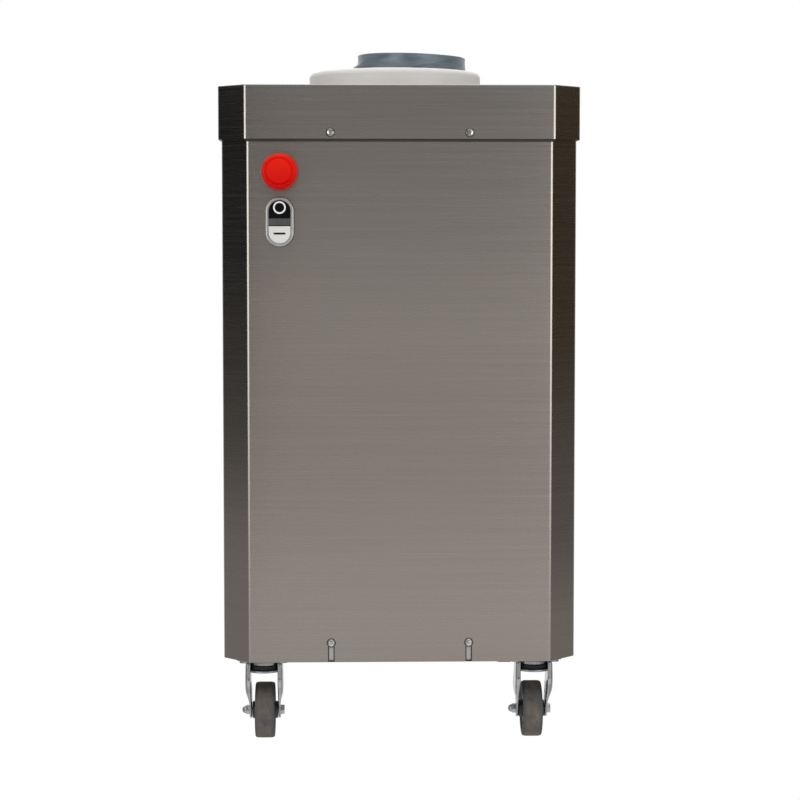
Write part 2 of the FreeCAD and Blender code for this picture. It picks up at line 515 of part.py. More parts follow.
def caster_bolt_spots(x, y):
    """The four holes of a caster plate in the middle of which lies (x, y)."""
    return [(x + dx, y + dy) for dx in (-CASTER_HOLE, CASTER_HOLE) for dy in (-CASTER_HOLE, CASTER_HOLE)]


def caster_plate(x, y):
    """The fixed half of a caster: top plate, upper bearing cup and kingpin."""
    low, half = CASTER_TOP - CASTER_PLATE_T, CASTER_PLATE / 2
    corners = [V(x + sx * half, y + sy * half, low) for sx, sy in ((-1, -1), (1, -1), (1, 1), (-1, 1))]
    plate = face_of(corners, 5.0).extrude(V(0, 0, CASTER_PLATE_T))
    holes = [rod(3.1, (*spot, low - 1), 5) for spot in caster_bolt_spots(x, y)]
    foot = 85.0
    profile = [(0, 0), (13.0, 0), (15.6, 1.2), (15.6, 3.9), (14.0, 6.0), (12.0, low - foot), (0, low - foot)]
    cup = turned(profile, (x, y, foot), Z_AXIS)
    pin = rod(5.0, (x, y, CROWN_Z - 1), 86.5 - CROWN_Z)
    rivet = rod(8.0, (x, y, CROWN_Z - 1.5), 1.2)
    return fuse(plate.cut(holes), cup, pin, rivet)


def caster_fork(x, y):
    """The turning half: lower cup, crown and two legs that curve in to the axle."""
    cup_h = CUP_TOP_Z - CROWN_Z
    profile = [(5.05, 0), (19.5, 0), (19.5, 2.3), (13.5, 2.6), (13.5, cup_h - 1.3), (12.2, cup_h),
               (5.05, cup_h)]
    cup = turned(profile, (x, y, CROWN_Z), Z_AXIS)
    collar = ring(SHOULDER_R, SHOULDER_R - 3.4, (x, y, CROWN_Z), SHOULDER_Z - CROWN_Z)
    spans = [sorted((x + s * LEG_GAP / 2, x + s * (LEG_GAP / 2 + 6.4))) for s in (-1, 1)]
    shoulders = [collar.common(box(x0, x1, y - 20, y + 20, 0, CAP_TOP)) for x0, x1 in spans]
    outline = [(-15, 88), (14, 88), (17, 70), (TRAIL + 9, 36), (TRAIL + 9, 22), (TRAIL - 9, 22),
               (TRAIL - 12, 36), (-14, 66)]
    flat = face_of([V(x, y + along, z) for along, z in outline], 3.0)
    outer, inner = LEG_GAP / 2 + 5.4, LEG_GAP / 2
    legs = []
    for s in (-1, 1):
        side = [(outer, 88), (outer + 0.4, 60), (outer - 0.8, 51), (inner + LEG_T + 0.6, 40),
                (inner + LEG_T, 36.5), (inner + LEG_T, 18), (inner, 18)]
        path = [V(x + s * inner, y, 88)] + [V(x + s * across, y, z) for across, z in side]
        front = Part.Face(Part.makePolygon([*path, path[0]])).extrude(V(0, 80, 0))
        front.translate(V(0, -20, 0))
        slab = flat.extrude(V(s * (outer + 2), 0, 0))
        x0, x1 = sorted((x + s * (inner + LEG_T), x + s * (outer + 2)))
        hollow = box(x0, x1, y - 12.5, y + TRAIL + 20, 40, 90)
        rim = flat.extrude(V(s * (outer + 2), 0, 0)).cut(inner_outline(x, y, s, outer))
        legs.append(slab.common(front).cut(hollow).fuse(slab.common(front).common(rim)).removeSplitter())
    legs = fuse(*legs).common(box(x - 30, x + 30, y - 40, y + 60, 0, CUP_TOP_Z))
    return fuse(cup, *shoulders, legs).cut([rod(3.05, (x - 30, y + TRAIL, WHEEL_R), 60, X_AXIS),
                                            rod(5.05, (x, y, 60), 40)])


def inner_outline(x, y, s, outer):
    """The leg's outline drawn in by the thickness of its rolled edge."""
    outline = [(-12.5, 95), (11.5, 95), (14.5, 70), (TRAIL + 6.5, 36), (TRAIL + 6.5, 24.5), (TRAIL - 6.5, 24.5),
               (TRAIL - 9.5, 37), (-11.5, 67)]
    return face_of([V(x, y + along, z) for along, z in outline], 2.0).extrude(V(s * (outer + 4), 0, 0))


def caster_axle(x, y):
    """Axle bolt with its hexagon head on the right and a domed nut on the left."""
    right, left = x + LEG_GAP / 2 + LEG_T, x - LEG_GAP / 2 - LEG_T
    head = hexagon(9, (right, y, WHEEL_R), 4.0, X_AXIS)
    nut = hexagon(9, (left - 4.0, y, WHEEL_R), 4.0, X_AXIS)
    dome = Part.makeSphere(4.2, V(left - 4.2, y, WHEEL_R)).common(box(left - 9, left - 4, y - 5, y + 5, 20, 40))
    return fuse(head, nut, dome, rod(3.0, (left - 4, y, WHEEL_R), right - left + 8, X_AXIS))


def caster_hub(x, y):
    half, boss = WHEEL_W / 2 - 1.5, LEG_GAP / 2 - 0.6
    side = [(22, half), (20.5, half - 1), (9.6, half), (9.2, boss - 0.8), (8.5, boss), (3.05, boss)]
    profile = [(r, -along) for r, along in reversed(side)] + side
    return turned(profile, (x, y, WHEEL_R), X_AXIS)


def caster_tyre(x, y):
    half, r = WHEEL_W / 2, WHEEL_R
    side = [(r, half - 4), (r - 1.0, half - 1.0), (r - 3, half), (23.5, half), (22.0, half - 1.5)]
    profile = [(radius, -along) for radius, along in reversed(side)] + side
    return turned(profile, (x, y, WHEEL_R), X_AXIS)


def main():
    os.makedirs("parts", exist_ok=True)
    make_cabinet()
    make_frame()
    make_rounding_head()
    make_auger()
    make_drive()
    make_controls()
    make_casters()


main()
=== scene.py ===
"""Studio picture of a floor-standing dough rounder: its materials, the pieces that want a finer
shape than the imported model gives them, light and camera. Metres, +Z up, front towards -Y."""

import json
import math

import bmesh
import bpy
from mathutils import Matrix, Vector


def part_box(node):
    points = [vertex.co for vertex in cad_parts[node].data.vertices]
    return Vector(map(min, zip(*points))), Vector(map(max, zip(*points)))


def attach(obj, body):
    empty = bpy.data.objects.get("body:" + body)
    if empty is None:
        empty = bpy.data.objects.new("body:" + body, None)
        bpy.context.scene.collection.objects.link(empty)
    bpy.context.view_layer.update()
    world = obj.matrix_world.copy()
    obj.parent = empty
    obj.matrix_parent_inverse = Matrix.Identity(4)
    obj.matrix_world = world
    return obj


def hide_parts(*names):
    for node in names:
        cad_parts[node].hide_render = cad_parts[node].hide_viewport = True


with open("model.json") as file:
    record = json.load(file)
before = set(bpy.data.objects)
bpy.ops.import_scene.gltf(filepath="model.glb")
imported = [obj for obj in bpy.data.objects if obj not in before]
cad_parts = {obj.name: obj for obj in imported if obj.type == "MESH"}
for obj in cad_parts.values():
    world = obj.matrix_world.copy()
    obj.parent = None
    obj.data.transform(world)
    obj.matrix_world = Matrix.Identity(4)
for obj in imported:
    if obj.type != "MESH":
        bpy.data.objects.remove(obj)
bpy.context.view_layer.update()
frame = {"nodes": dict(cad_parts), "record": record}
NODES = frame["nodes"]
CORNERS = ["front_left", "front_right", "rear_left", "rear_right"]
MM = 0.001
WHEEL_X = 0.1445                            # from the middle plane to a caster, in metres
SCREW_X = 72.3                              # from the middle plane to a front screw, in mm
LID_SCREW_Z, FRONT_SCREW_Z = 650.5, 116.5   # heights of the front screws, in mm


# ---- shader graphs ----------------------------------------------------------------
class Graph:
    """One node-based material. Positions are metres in the row frame at rest."""

    def __init__(self, name, **values):
        self.material = bpy.data.materials.new(name)
        self.material.use_nodes = True
        self.tree = self.material.node_tree
        self.shader = self.tree.nodes["Principled BSDF"]
        for key, value in values.items():
            self.set(key.replace("_", " "), value)

    def set(self, socket, value):
        """Gives one of the shader's sockets a number, a colour or another node's output."""
        names = {name.lower(): name for name in self.shader.inputs.keys()}
        self.feed(self.shader.inputs[names[socket.lower()]], value)

    def feed(self, socket, value):
        """Links a node's output to a socket, or sets the socket's own value."""
        if isinstance(value, bpy.types.NodeSocket):
            self.tree.links.new(value, socket)
        elif socket.type == "RGBA" and len(value) == 3:
            socket.default_value = (*value, 1.0)
        else:
            socket.default_value = value

    def node(self, kind, inputs=None, **settings):
        """Adds a shader node, sets its properties and feeds its inputs."""
        made = self.tree.nodes.new("ShaderNode" + kind)
        for key, value in settings.items():
            setattr(made, key, value)
        for key, value in (inputs or {}).items():
            self.feed(made.inputs[key], value)
        return made

    def place(self, stretch=(1, 1, 1)):
        """The point's place in metres, stretched along each axis."""
        point = self.node("TexCoord").outputs["Object"]
        return self.node("Mapping", {"Vector": point, "Scale": stretch}).outputs["Vector"]

    def noise(self, stretch, detail=3.0, roughness=0.5):
        """Soft noise whose cells number stretch per metre along each axis."""
        inputs = {"Vector": self.place(stretch), "Scale": 1.0, "Detail": detail,
                  "Roughness": roughness}
        return self.node("TexNoise", inputs).outputs["Fac"]

    def calc(self, operation, a, b=0.0):
        return self.node("Math", {0: a, 1: b}, operation=operation).outputs[0]

    def remap(self, value, low, high, to_low, to_high):
        """Turns low..high into to_low..to_high and holds it there beyond."""
        keys = {"Value": value, "From Min": low, "From Max": high,
                "To Min": to_low, "To Max": to_high}
        return self.node("MapRange", keys).outputs[0]

    def mix(self, factor, a, b):
        """A colour between a and b."""
        made = self.node("Mix", data_type="RGBA", blend_type="MIX")
        for key, value in ((0, factor), (6, a), (7, b)):
            self.feed(made.inputs[key], value)
        return made.outputs[2]

    def bump(self, height, strength, distance):
        """Relief from a height. distance is in metres."""
        keys = {"Height": height, "Strength": strength, "Distance": distance}
        self.set("Normal", self.node("Bump", keys).outputs["Normal"])

    def facing(self, axis):
        """How far the surface faces along an axis, from 0 to 1, on either side."""
        split = self.node("SeparateXYZ", {0: self.node("NewGeometry").outputs["Normal"]})
        return self.calc("ABSOLUTE", split.outputs[axis])


def brushed_steel(name, tint, rough=0.25, grain=1.0):
    """Sheet steel whose grain runs level on walls and along X where it lies flat."""
    g = Graph(name, metallic=1.0, anisotropic=0.55)
    flat = g.remap(g.facing("Z"), 0.6, 0.8, 0.0, 1.0)

    def lines(along, across, detail):
        wall = g.noise((along, along, across), detail)
        top = g.noise((along, across, along), detail)
        return g.mix(flat, wall, top)

    fine, broad = lines(7, 1900, 2.0), lines(3, 420, 3.0)
    cloud = g.noise((7, 7, 5), 2.0)
    light = [c * (1 + 0.05 * grain) for c in tint]
    dark = [c * (1 - 0.05 * grain) for c in tint]
    colour = g.mix(g.remap(g.calc("ADD", broad, fine), 0.7, 1.3, 0, 1), dark, light)
    warm = [tint[0] * 1.03, tint[1] * 0.99, tint[2] * 0.96]
    g.set("Base Color", g.mix(g.remap(cloud, 0.35, 0.65, 0, 0.5), colour, warm))
    g.set("Roughness", g.remap(fine, 0.25, 0.75, rough - 0.03, rough + 0.04))
    g.bump(fine, 0.025 * grain, 0.0001)
    lean = g.node("CombineXYZ", {"X": 0.0, "Y": g.facing("Z"), "Z": 1.0})
    g.set("Tangent", lean.outputs[0])
    return g.material


def cloudy_metal(name, tint, rough, patch=90, contrast=0.12, scratch=0.1):
    """Plated, cast or turned metal with soft patches and fine scratches."""
    g = Graph(name, metallic=1.0)
    patches = g.noise((patch, patch, patch), 4.0, 0.6)
    light = [c * (1 + contrast) for c in tint]
    dark = [c * (1 - contrast) for c in tint]
    g.set("Base Color", g.mix(g.remap(patches, 0.3, 0.7, 0, 1), dark, light))
    g.set("Roughness", g.remap(patches, 0.3, 0.7, rough - 0.06, rough + 0.08))
    fine = g.noise((1800, 1800, 900), 3.0)
    g.bump(g.calc("ADD", fine, patches), scratch, 0.0002)
    return g.material


def moulded_plastic(name, colour, rough=0.35, coat=0.0, texture=0.06, variation=0.05, gloss=0.5,
                    metal=0.0):
    """Moulded plastic with a faint orange peel and slightly uneven gloss."""
    g = Graph(name, coat_weight=coat, coat_roughness=0.12, specular_ior_level=gloss, metallic=metal)
    soft = g.noise((45, 45, 45), 2.0)
    light = [min(1, c * (1 + variation)) for c in colour]
    dark = [c * (1 - variation) for c in colour]
    g.set("Base Color", g.mix(g.remap(soft, 0.35, 0.65, 0, 1), dark, light))
    g.set("Roughness", g.remap(soft, 0.3, 0.7, rough - 0.03, rough + 0.04))
    g.bump(g.noise((900, 900, 900), 2.0), texture, 0.0003)
    return g.material


def turned_polyethylene(name):
    """White cutting-board plastic with level marks from the lathe, yellowed in soft patches."""
    g = Graph(name, subsurface_weight=0.2, subsurface_radius=(1.0, 0.95, 0.85),
              subsurface_scale=0.003)
    rings = g.noise((3, 3, 900), 3.0)
    soft = g.noise((16, 16, 40), 3.0)
    colour = g.mix(g.remap(soft, 0.35, 0.65, 0, 1), (0.72, 0.71, 0.68), (0.78, 0.775, 0.75))
    colour = g.mix(g.remap(rings, 0.45, 0.75, 0, 0.35), colour, (0.66, 0.645, 0.61))
    g.set("Base Color", colour)
    g.set("Roughness", g.remap(rings, 0.3, 0.7, 0.36, 0.52))
    g.bump(rings, 0.18, 0.0002)
    return g.material


def coated_auger(name):
    """Blue grey non-stick coating, speckled, and streaked where dough rubs along the helix."""
    g = Graph(name, metallic=0.35, coat_weight=0.25, coat_roughness=0.3)
    streaks = g.noise((30, 30, 220), 4.0, 0.6)
    speckle = g.noise((1600, 1600, 1600), 2.0)
    dark, light = (0.105, 0.143, 0.172), (0.185, 0.232, 0.268)
    colour = g.mix(g.remap(streaks, 0.3, 0.7, 0, 1), dark, light)
    g.set("Base Color", g.mix(g.remap(speckle, 0.55, 0.8, 0, 0.25), colour, (0.30, 0.33, 0.35)))
    g.set("Roughness", g.remap(streaks, 0.3, 0.7, 0.30, 0.42))
    g.bump(speckle, 0.06, 0.0002)
    return g.material


def worn_tyre(name):
    """Grey rubber, dusty brown on the tread where it has rolled and bluer on the shoulders."""
    g = Graph(name, specular_ior_level=0.3)
    tread_half, wall_half = 0.0055, 0.0095
    dust = g.noise((70, 70, 70), 5.0, 0.65)
    pits = g.noise((1100, 1100, 1100), 3.0, 0.6)
    rubber, brown, shoulder = (0.062, 0.062, 0.064), (0.150, 0.127, 0.101), (0.066, 0.072, 0.080)
    colour = g.mix(g.remap(dust, 0.35, 0.65, 0, 1), rubber, brown)
    colour = g.mix(g.remap(pits, 0.5, 0.8, 0, 0.3), colour, (0.17, 0.155, 0.135))
    split = g.node("SeparateXYZ", {0: g.place()})
    aside = g.calc("ABSOLUTE", split.outputs[0])
    from_middle = g.calc("ABSOLUTE", g.calc("SUBTRACT", aside, WHEEL_X))
    edge = g.remap(from_middle, tread_half, wall_half, 0, 0.85)
    g.set("Base Color", g.mix(edge, colour, shoulder))
    g.set("Roughness", g.remap(dust, 0.3, 0.7, 0.72, 0.9))
    g.bump(g.calc("ADD", pits, dust), 0.35, 0.0004)
    return g.material


def signal_red(name):
    """Moulded red with painted light: lighter and yellower at the top, darker at the foot."""
    g = Graph(name, specular_ior_level=0.07)
    low, high = 0.593, 0.627
    # painted light: the base colour runs from a shaded red at the foot to a lit, yellower red at
    # the top
    shaded_red, lit_orange = (0.60, 0.0006, 0.0003), (0.80, 0.014, 0.003)
    height = g.node("SeparateXYZ", {0: g.place()}).outputs[2]
    g.set("Base Color", g.mix(g.remap(height, low, high, 0, 1), shaded_red, lit_orange))
    g.set("Roughness", 0.3)
    g.bump(g.noise((900, 900, 900), 2.0), 0.04, 0.0003)
    return g.material


def ribbed_lens(name):
    """A smoky lens with fine upright ribs moulded into it."""
    g = Graph(name, coat_weight=0.6, coat_roughness=0.05)
    wave = g.node("TexWave", {"Vector": g.place(), "Scale": 140.0}, bands_direction="X")
    ribs = wave.outputs["Fac"]
    shade = g.noise((60, 60, 60), 2.0)
    colour = g.mix(g.remap(shade, 0.3, 0.7, 0, 1), (0.030, 0.030, 0.032), (0.060, 0.060, 0.066))
    g.set("Base Color", g.mix(g.remap(ribs, 0, 1, 0, 0.4), colour, (0.12, 0.12, 0.13)))
    g.set("Roughness", 0.18)
    g.bump(ribs, 0.4, 0.0003)
    return g.material


STEEL = (0.37, 0.352, 0.335)
MATERIALS = {
    "brushed_panel": brushed_steel("brushed_panel", STEEL),
    "frame_steel": brushed_steel("frame_steel", (0.50, 0.50, 0.50), 0.38, 1.2),
    "fasteners": cloudy_metal("fasteners", (0.56, 0.55, 0.53), 0.13, 400, 0.1, 0.05),
    "white_polyethylene": turned_polyethylene("white_polyethylene"),
    "coated_auger": coated_auger("coated_auger"),
    "shaft_steel": cloudy_metal("shaft_steel", (0.60, 0.60, 0.61), 0.22, 60, 0.06),
    "cast_aluminium": cloudy_metal("cast_aluminium", (0.55, 0.56, 0.57), 0.45, 240, 0.15, 0.35),
    "motor_paint": moulded_plastic("motor_paint", (0.06, 0.10, 0.15), 0.35, 0.3, 0.15, 0.1),
    "motor_core": cloudy_metal("motor_core", (0.28, 0.26, 0.25), 0.5, 180, 0.2, 0.3),
    "belt_rubber": moulded_plastic("belt_rubber", (0.018, 0.018, 0.019), 0.75, 0.0, 0.4, 0.15),
    "box_plastic": moulded_plastic("box_plastic", (0.42, 0.43, 0.43), 0.5, 0.0, 0.15),
    "black_plastic": moulded_plastic("black_plastic", (0.02, 0.02, 0.022), 0.42, 0.0, 0.15, 0.12),
    "stop_red": signal_red("stop_red"),
    "bezel_grey": moulded_plastic("bezel_grey", (0.46, 0.46, 0.45), 0.26, 0.2, 0.05, 0.04,
                                  metal=0.6),
    "lens_grey": ribbed_lens("lens_grey"),
    "button_black": moulded_plastic("button_black", (0.002, 0.002, 0.004), 0.3, 0.0, 0.05, 0.1,
                                    0.12),
    "button_white": moulded_plastic("button_white", (0.70, 0.70, 0.69), 0.30, 0.4, 0.05, 0.02),
    "zinc_plate": cloudy_metal("zinc_plate", (0.37, 0.39, 0.405), 0.22, 120, 0.14, 0.12),
    "hub_plastic": moulded_plastic("hub_plastic", (0.022, 0.022, 0.024), 0.45, 0.0, 0.12, 0.1),
    "grey_tyre": worn_tyre("grey_tyre"),
}
WHITE_INK = moulded_plastic("white_ink", (0.88, 0.88, 0.87), 0.4, 0.0, 0.03, 0.02)
# black for print, and also for the painted-shade block round the lens
BLACK_INK_AND_SHADE = moulded_plastic("black_ink_and_shade", (0.003, 0.003, 0.003), 0.4, 0.0, 0.03, 0.1, 0.15)


def paint(obj, slot, material=None):
    """Gives an object its slot's material, or another one that stands for the same slot."""
    obj.data.materials.clear()
    obj.data.materials.append(material or MATERIALS[slot])


# ---- mesh tools -------------------------------------------------------------------
def build(name, points, faces, slot, body, smooth_angle=35, material=None):
    """A closed or open mesh in the row frame that rides on a body."""
    mesh = bpy.data.meshes.new(name)
    mesh.from_pydata([tuple(p) for p in points], [], faces)
    mesh.validate()
    mesh.shade_smooth()
    mesh.set_sharp_from_angle(angle=math.radians(smooth_angle))
    obj = bpy.data.objects.new(name, mesh)
    bpy.context.scene.collection.objects.link(obj)
    paint(obj, slot, material)
    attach(obj, body)
    return obj


def grid_faces(rows, count):
    """Faces that join rows of count points each into a tube."""
    faces = []
    for i in range(rows - 1):
        for k in range(count):
            m, above = (k + 1) % count, (i + 1) * count
            faces.append((i * count + k, i * count + m, above + m, above + k))
    return faces


def rounded(outline, radii, steps=6):
    """An open outline of flat points whose inner corners are rounded, with one radius for each."""
    path = [Vector(outline[0])]
    for i, size in enumerate(radii):
        corner = Vector(outline[i + 1])
        before, after = Vector(outline[i]) - corner, Vector(outline[i + 2]) - corner
        half = before.angle(after) / 2
        if size <= 0 or half > math.radians(89):
            path.append(corner)
            continue
        reach = min(size / math.tan(half), before.length * 0.49, after.length * 0.49)
        size = reach * math.tan(half)
        inward = (before.normalized() + after.normalized()).normalized()
        middle = corner + inward * (size / math.sin(half))
        start, end = corner + before.normalized() * reach, corner + after.normalized() * reach
        first, sweep = start - middle, (end - middle).angle_signed(start - middle)
        for k in range(steps + 1):
            turn = Matrix.Rotation(sweep * k / steps, 2)
            path.append(middle + turn @ first)
    path.append(Vector(outline[-1]))
    return path


def turned(profile, origin, axis, count):
    """Points and faces of a turned piece from a closed profile of (radius, height) pairs in mm.
    origin is in metres, and heights run along axis from it."""
    spin = Vector((0, 0, 1)).rotation_difference(Vector(axis)).to_matrix()
    points = []
    for r, h in profile:
        for k in range(count):
            a = 2 * math.pi * k / count
            point = Vector((r * math.cos(a), r * math.sin(a), h)) * MM
            points.append(Vector(origin) + spin @ point)
    faces = []
    for i in range(len(profile)):
        j = (i + 1) % len(profile)
        for k in range(count):
            m = (k + 1) % count
            faces.append((i * count + k, i * count + m, j * count + m, j * count + k))
    return points, faces


def lathe(name, profile, origin, axis, slot, body, count):
    """A turned piece that rides on a body, with count points round it."""
    points, faces = turned(profile, origin, axis, count)
    obj = build(name, points, faces, slot, body)
    weld(obj)
    return obj


def weld(obj):
    """Merges points that fall together, such as on a piece's axis, and turns faces outward."""
    work = bmesh.new()
    work.from_mesh(obj.data)
    bmesh.ops.remove_doubles(work, verts=work.verts, dist=1e-7)
    bmesh.ops.recalc_face_normals(work, faces=work.faces)
    work.to_mesh(obj.data)
    work.free()


# ---- auger and collar -------------------------------------------------------------
def make_auger():
    """The head stands upright over an eccentric column, and both carry shallow helical flutes."""
    low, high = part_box("auger")
    radius, offset, column_pitch = 62.9, 19.1, 120.0
    foot, top, straight_from = low.z / MM, high.z / MM, 727.5
    starts, flute_pitch, flute_depth, flute_level = 4, 76.0, 1.4, 742.0
    ledge_reach, ledge_top, ledge_foot, ledge_side = 5.0, 740.5, 720.0, math.radians(100)
    head_tilt, head_edge, rim = 0.030, 4.5, 0.5
    left = offset - radius
    count = 288
    edge = top - head_edge

    def flute(angle, z):
        """Depth of the hollow between two crests. Angle 0 faces the front and grows towards +X."""
        spacing = flute_pitch / starts
        phase = (flute_level - z) / spacing + (angle - math.radians(45)) / (2 * math.pi) * starts
        return flute_depth * math.sin(math.pi * (phase % 1.0)) ** 0.6

    def ledge(angle, z):
        """The concave foot that spreads out on the left, just above the collar."""
        aside = angle + ledge_side
        side = max(0.0, math.cos(aside * 0.9)) if abs(aside) < 1.7 else 0.0
        rise = max(0.0, min(1.0, (ledge_top - z) / 6.0))
        fall = max(0.0, min(1.0, (z - ledge_foot) / 10.0))
        return ledge_reach * side ** 2 * rise ** 2.4 * fall

    levels = [foot + (straight_from - foot) * k / 110 for k in range(111)]
    levels += [straight_from + (edge - straight_from) * k / 22 for k in range(1, 23)]
    points = []
    for z in levels + ["rim_low", "rim"]:
        raised = isinstance(z, str)
        for k in range(count):
            angle = 2 * math.pi * k / count - math.pi
            level = edge if raised else z
            spin = 2 * math.pi * min(0.0, level - straight_from) / column_pitch
            centre = Vector((offset * math.cos(spin), offset * math.sin(spin)))
            r = radius - flute(angle, level) + ledge(angle, level)
            r -= rim if z == "rim" else 0.0
            x, y = centre.x + r * math.sin(angle), centre.y - r * math.cos(angle)
            if raised:
                level = top - head_tilt * (x - left) - (0.0 if z == "rim" else rim)
            elif level > straight_from:
                share = (level - straight_from) / (edge - straight_from)
                shoulder = top - rim - head_tilt * (x - left)
                level = straight_from + share * (shoulder - straight_from - 0.3)
            points.append(Vector((x, y, level)) * MM)
    rows = len(levels) + 2
    hole, recess, recess_depth = 5.0, 18.0, 12.0
    for r, drop in ((recess, 0.0), (recess, recess_depth), (hole, recess_depth)):
        for k in range(count):
            angle = 2 * math.pi * k / count - math.pi
            x, y = r * math.sin(angle), -r * math.cos(angle)
            level = top - head_tilt * (x - left) if drop == 0 else top - recess_depth
            points.append(Vector((x, y, level)) * MM)
    rows += 3
    faces = grid_faces(rows, count)
    faces.append(tuple(range(count - 1, -1, -1)))
    faces.append(tuple(range((rows - 1) * count, rows * count)))
    auger = build("auger_fluted", points, faces, "coated_auger", "auger", 25)
    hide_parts("auger")


def make_collar():
    """The white ring round the auger's head, with a groove above its foot and a round top edge."""
    low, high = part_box("exit_collar")
    outer, inner, top = 98.5, 82.8, (high.z - low.z) / MM
    outline = [(inner, 0), (outer, 0), (outer, 2.6), (outer - 1.6, 2.8), (outer - 1.6, 3.3),
               (outer - 0.6, 3.5), (outer - 0.6, top), (inner, top), (inner, 0)]
    profile = rounded(outline, [0.3, 0.3, 0, 0, 0.4, 6.5, 1.5], 10)[:-1]
    collar = lathe("exit_collar_turned", profile, (0, 0, low.z), (0, 0, 1), "white_polyethylene",
                   "cabinet", 256)
    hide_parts("exit_collar")


# ---- controls ---------------------------------------------------------------------
def make_estop_head():
    """Mushroom head: a raised rim round a shallow groove and a slightly domed disc."""
    low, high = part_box("estop_head")
    centre = (low + high) / 2
    r, reach = (high.x - low.x) / 2 / MM, (high.y - low.y) / MM
    bore, bore_end = 4.05, 7.0
    outline = [(bore, 0), (9.5, 0), (11.5, 2.5), (r - 1.5, 5.5), (r, 9.0), (r - 0.8, reach - 4.0),
               (r - 3.0, reach), (r - 4.2, reach), (r - 4.8, reach - 1.8), (r - 5.6, reach - 1.8),
               (r - 6.4, reach - 0.4), (r - 14.0, reach), (0, reach)]
    profile = rounded(outline, [0.4, 2, 2, 3, 3, 1.6, 0.5, 0.3, 0.3, 0.5, 4])
    profile += [Vector((0, bore_end)), Vector((bore, bore_end))]
    head = lathe("estop_head_moulded", profile, (centre.x, high.y, centre.z), (0, -1, 0),
                 "stop_red", "estop_head", 160)
    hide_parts("estop_head")


def ring_mark(name, centre, outer, inner, proud, slot, body, material):
    """A printed ring, as a thin raised band that faces the front."""
    outline = [(inner, 0), (outer, 0), (outer, proud), (inner, proud)]
    paint(lathe(name, outline, centre, (0, -1, 0), slot, body, 96), slot, material)


def bar_mark(name, centre, width, height, proud, slot, body, material):
    """A printed dash with round ends that faces the front."""
    r, half, steps = height / 2, width / 2 - height / 2, 12
    outline = []
    for side in (1, -1):
        for k in range(steps + 1):
            a = math.pi * (k / steps - 0.5) + (0 if side > 0 else math.pi)
            outline.append((side * half + r * math.cos(a), r * math.sin(a)))
    count = len(outline)
    points = [Vector(centre) + Vector((x, -y, z)) * MM for y in (0, proud) for x, z in outline]
    faces = [(k, (k + 1) % count, count + (k + 1) % count, count + k) for k in range(count)]
    faces += [tuple(range(count, 2 * count)), tuple(range(count - 1, -1, -1))]
    build(name, points, faces, slot, body, material=material)


def make_button_marks():
    """The stop button's ring and the start button's dash."""
    proud = 0.12
    low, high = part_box("stop_button")
    x, face = (low.x + high.x) / 2, low.y
    at = (x, face, high.z - 7.5 * MM)
    ring_mark("stop_mark", at, 6.5, 4.9, proud, "button_white", "stop_button", WHITE_INK)
    at = (x, face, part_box("start_button")[1].z - 7.6 * MM)
    bar_mark("start_mark", at, 12.4, 2.0, proud, "button_black", "start_button", BLACK_INK_AND_SHADE)


def upright_slot(name, x, z, width, height, y0, y1, slot, body):
    """A slot-shaped plate that stands in XZ between y0 and y1, all in metres."""
    r, half, steps = width / 2, height / 2 - width / 2, 24
    outline = []
    for side in (1, -1):
        for k in range(steps + 1):
            a = math.pi * k / steps + (0 if side > 0 else math.pi)
            outline.append((x + r * math.cos(a), z + side * half + r * math.sin(a)))
    count = len(outline)
    points = [(px, y, pz) for y in (y1, y0) for px, pz in outline]
    faces = [(k, (k + 1) % count, count + (k + 1) % count, count + k) for k in range(count)]
    faces += [tuple(range(count, 2 * count)), tuple(range(count - 1, -1, -1))]
    obj = build(name, points, faces, slot, body)
    weld(obj)
    return obj


def make_button_shade_pieces():
    """Painted shade: a black plate for the dark outline round the bezel, and a black block for the
    shaded gaps above and below the lens.
    """
    shadow_plate_width, shadow_plate_height, shadow_plate_thick = 30.0 * MM, 52.0 * MM, 1.0 * MM
    lens_shade_half = 4.42 * MM
    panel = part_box("front_cover")[0].y
    lens_low, lens_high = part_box("button_lens")
    x, z = (lens_low.x + lens_high.x) / 2, (lens_low.z + lens_high.z) / 2
    # painted shade: a black plate a little larger than the bezel stands in for its shadow outline
    upright_slot("bezel_shadow_plate", x, z, shadow_plate_width, shadow_plate_height, panel - shadow_plate_thick, panel,
                 "belt_rubber", "cabinet")
    half, face = (lens_high.x - lens_low.x) / 2 - 0.05 * MM, lens_low.y + 0.3 * MM
    # painted shade: a black block fills the gaps above and below the lens
    lens_shade_block = block("lens_gap_shade", (x - half, x + half), (face, lens_high.y),
                   (z - lens_shade_half, z + lens_shade_half), "belt_rubber", "cabinet")
    paint(lens_shade_block, "belt_rubber", BLACK_INK_AND_SHADE)


def block(name, xs, ys, zs, slot, body):
    """A box between two values on each axis, in metres."""
    (x0, x1), (y0, y1) = xs, ys
    corners = [(x, y, z) for z in zs for x, y in ((x0, y0), (x1, y0), (x1, y1), (x0, y1))]
    faces = [(3, 2, 1, 0), (4, 5, 6, 7)]
    faces += [(k, (k + 1) % 4, 4 + (k + 1) % 4, 4 + k) for k in range(4)]
    return build(name, corners, faces, slot, body)


# ---- casters ----------------------------------------------------------------------
def make_tyre(corner):
    """A tyre with round shoulders and an almost flat tread."""
    low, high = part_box("caster_tyre_" + corner)
    centre, half = (low + high) / 2, (high.x - low.x) / 2 / MM
    r, rim = (high.z - low.z) / 2 / MM, 22.0
    outline = [(rim, -half + 1.5), (23.6, -half), (r - 0.9, -half + 0.1), (r, -half + 3.5),
               (r, half - 3.5), (r - 0.9, half - 0.1), (23.6, half), (rim, half - 1.5)]
    profile = rounded(outline, [0.6, 1.6, 3.0, 3.0, 1.6, 0.6], 8)
    tyre = lathe("tyre_" + corner, profile, centre, (1, 0, 0), "grey_tyre", "wheel_" + corner, 120)
    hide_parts("caster_tyre_" + corner)


